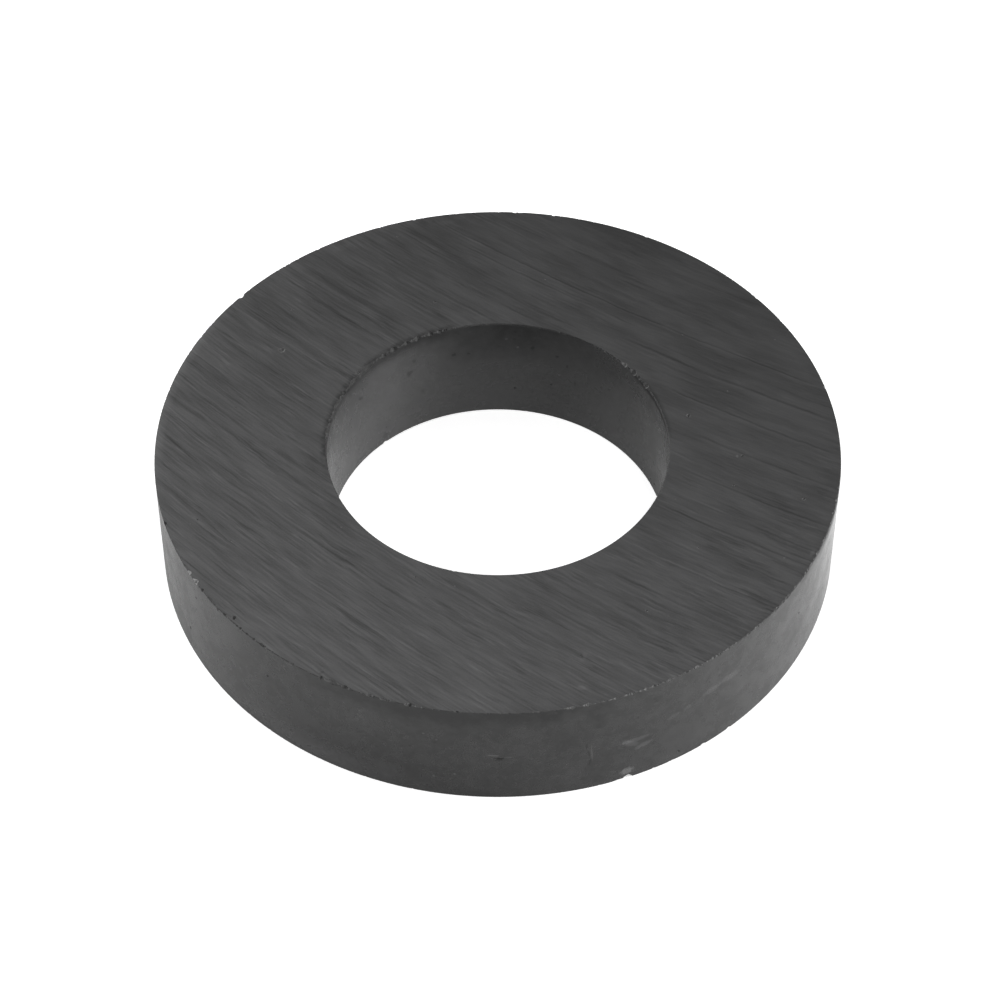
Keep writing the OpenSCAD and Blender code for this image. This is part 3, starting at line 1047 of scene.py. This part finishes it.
def floor_material(colour):
    """Diffuse, with its own plain light: white to the camera, and a brighter right side in reflections."""
    material, nodes = new_material("studio_floor")
    path = nodes.add("LightPath").outputs
    seen = nodes.math("ADD", path["Is Camera Ray"], path["Is Transmission Ray"], clamp=True)
    x, y, _ = nodes.add("SeparateXYZ", {0: nodes.add("TexCoord").outputs["Object"]}).outputs
    # The lamps reach less of the floor inside the bore, so it is whiter of itself there
    in_bore = nodes.times(nodes.ramp(nodes.total((x, x), (y, y)), 0.0005, 0.0015, 0.32, 0),
                          nodes.ramp(x, -0.014, 0.016, smooth=True))
    white = nodes.total(nodes.ramp(x, -0.014, 0.016, 0.66, 0.44, smooth=True), in_bore)
    far_right = nodes.times(nodes.ramp(x, 0.034, 0.04), nodes.ramp(y, -0.016, 0.004, smooth=True))
    mirrored = nodes.total(nodes.ramp(x, -0.02, 0.07, 0.02, 0.16, smooth=True), (far_right, 0.55))
    level = nodes.total((seen, white), (path["Is Glossy Ray"], mirrored))
    shader = nodes.add("BsdfPrincipled", {
        "Base Color": (*colour, 1), "Roughness": 0.9, "Specular IOR Level": 0.0,
        "Emission Color": (1, 1, 1, 1), "Emission Strength": level})
    nodes.add("OutputMaterial", {"Surface": shader.outputs[0]})
    return material


FLOOR_SIDE = 6.0  # metres
FLOOR_LIFT = 0.01 * MM  # keeps the floor from lying in the very plane of the ring's underside


def add_floor(studio):
    mesh = bpy.data.meshes.new("studio_floor")
    half = FLOOR_SIDE / 2
    corners = [(x, y, FLOOR_LIFT) for x, y in ((-half, -half), (half, -half), (half, half), (-half, half))]
    mesh.from_pydata(corners, [], [(0, 1, 2, 3)])
    mesh.materials.append(floor_material(studio.floor_colour))
    floor = bpy.data.objects.new("studio_floor", mesh)
    bpy.context.scene.collection.objects.link(floor)
    floor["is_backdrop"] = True


LAMPS = (  # name, direction and height in degrees, power in watts
    ("right_softbox", 0, 18, 7.1),
    ("back_left_softbox", 135, 18, 6.5),
    ("front_right_softbox", 315, 18, 2.4),
    ("back_overhead_softbox", 90, 70, 1.0),
    ("front_overhead_softbox", 270, 70, 1.7),
)
LAMP_SIZE = 0.4  # metres
LAMP_DISTANCE = 0.8


def add_lamp(name, direction, height, power, aim):
    light = bpy.data.lights.new(name, "AREA")
    light.shape = "SQUARE"
    light.size = LAMP_SIZE
    light.energy = power
    lamp = bpy.data.objects.new(name, light)
    turn, rise = math.radians(direction), math.radians(height)
    away = Vector((math.cos(rise) * math.cos(turn), math.cos(rise) * math.sin(turn), math.sin(rise)))
    lamp.location = aim + away * LAMP_DISTANCE
    lamp.rotation_euler = away.to_track_quat("Z", "Y").to_euler()
    bpy.context.scene.collection.objects.link(lamp)


def add_world():
    """White air to the camera, and faint light from all round."""
    world = bpy.data.worlds.new("studio_air")
    bpy.context.scene.world = world
    world.use_nodes = True
    world.node_tree.nodes.clear()
    nodes = Nodes(world.node_tree)
    seen = nodes.add("LightPath").outputs["Is Camera Ray"]
    level = nodes.ramp(seen, 0, 1, AIR_STRENGTH, 1.0)
    background = nodes.add("Background", {"Color": (1, 1, 1, 1), "Strength": level})
    nodes.add("OutputWorld", {"Surface": background.outputs[0]})


def add_camera(studio, target):
    camera = bpy.data.cameras.new("studio_camera")
    camera.sensor_width = SENSOR_WIDTH
    camera.lens = studio.lens
    camera.clip_start, camera.clip_end = CLIP_SPAN
    holder = bpy.data.objects.new("studio_camera", camera)
    back = Vector((0, -math.cos(studio.camera_elevation), math.sin(studio.camera_elevation)))
    right = Vector((1, 0, 0))
    up = back.cross(right)
    aimed = Matrix((right, up, back)).transposed()
    focal = studio.lens / SENSOR_WIDTH * PICTURE_SIZE
    pan, tilt = (math.atan((pixel - PICTURE_SIZE / 2) / focal) for pixel in AIM_PIXEL)
    turned = aimed @ Matrix.Rotation(pan, 3, "Y") @ Matrix.Rotation(tilt, 3, "X")
    holder.matrix_world = Matrix.Translation(target + back * studio.camera_distance) @ turned.to_4x4()
    bpy.context.scene.collection.objects.link(holder)
    bpy.context.scene.camera = holder


# ==== Operators and panel ====

class RING_OT_build_ring(bpy.types.Operator):
    """Build the worn ferrite ring and give it its finishes"""

    bl_idname = "ring_magnet.build_ring"
    bl_label = "Build Ring"

    def execute(self, context):
        shape, finish = context.scene.ring_shape, context.scene.ring_finish
        for build in (build_place_group, build_grain_group, build_mark_group, build_specks_group,
                      build_lines_group, build_streaks_group, build_long_line_group):
            build()
        ring = bpy.data.objects.new("ring_magnet", ring_mesh(shape))
        ring.data.materials.append(ground_material(finish, shape.thickness / MM / 2))
        for material in (fired_material, bore_material, broken_material):
            ring.data.materials.append(material(finish))
        context.scene.collection.objects.link(ring)
        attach(ring, "root")
        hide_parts(CAD_NODE)
        return {"FINISHED"}


class RING_OT_set_stage(bpy.types.Operator):
    """Set the camera, the lamps, the floor and the air round the ring"""

    bl_idname = "ring_magnet.set_stage"
    bl_label = "Set Stage"

    def execute(self, context):
        studio = context.scene.ring_studio
        top = Vector((0, 0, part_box(CAD_NODE)[1].z))
        add_camera(studio, top)
        add_floor(studio)
        add_world()
        for lamp in LAMPS:
            add_lamp(*lamp, top)
        context.scene.view_settings.view_transform = "Standard"
        return {"FINISHED"}


class RING_PT_panel(bpy.types.Panel):
    """Ring magnet builder"""

    bl_label = "Ring Magnet"
    bl_idname = "RING_PT_panel"
    bl_space_type = "VIEW_3D"
    bl_region_type = "UI"
    bl_category = "Ring Magnet"

    def draw(self, context):
        for settings in (context.scene.ring_shape, context.scene.ring_finish, context.scene.ring_studio):
            column = self.layout.column(align=True)
            for name in settings.__annotations__:
                column.prop(settings, name)
        for operator in OPERATORS:
            self.layout.operator(operator.bl_idname)


SETTINGS = {"ring_shape": RingShape, "ring_finish": RingFinish, "ring_studio": Studio}
OPERATORS = (RING_OT_set_stage, RING_OT_build_ring)


def register():
    for cls in (*SETTINGS.values(), *OPERATORS, RING_PT_panel):
        bpy.utils.register_class(cls)
    for name, cls in SETTINGS.items():
        setattr(bpy.types.Scene, name, PointerProperty(type=cls))


def unregister():
    for name in SETTINGS:
        delattr(bpy.types.Scene, name)
    for cls in reversed((*SETTINGS.values(), *OPERATORS, RING_PT_panel)):
        bpy.utils.unregister_class(cls)


def main():
    register()
    bpy.ops.ring_magnet.set_stage()
    bpy.ops.ring_magnet.build_ring()
    sizes = {"cad": CAD_BOX, "visual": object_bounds()}
    {name: [list(corner) for corner in box] for name, box in sizes.items()}


if __name__ == "__main__":
    main()
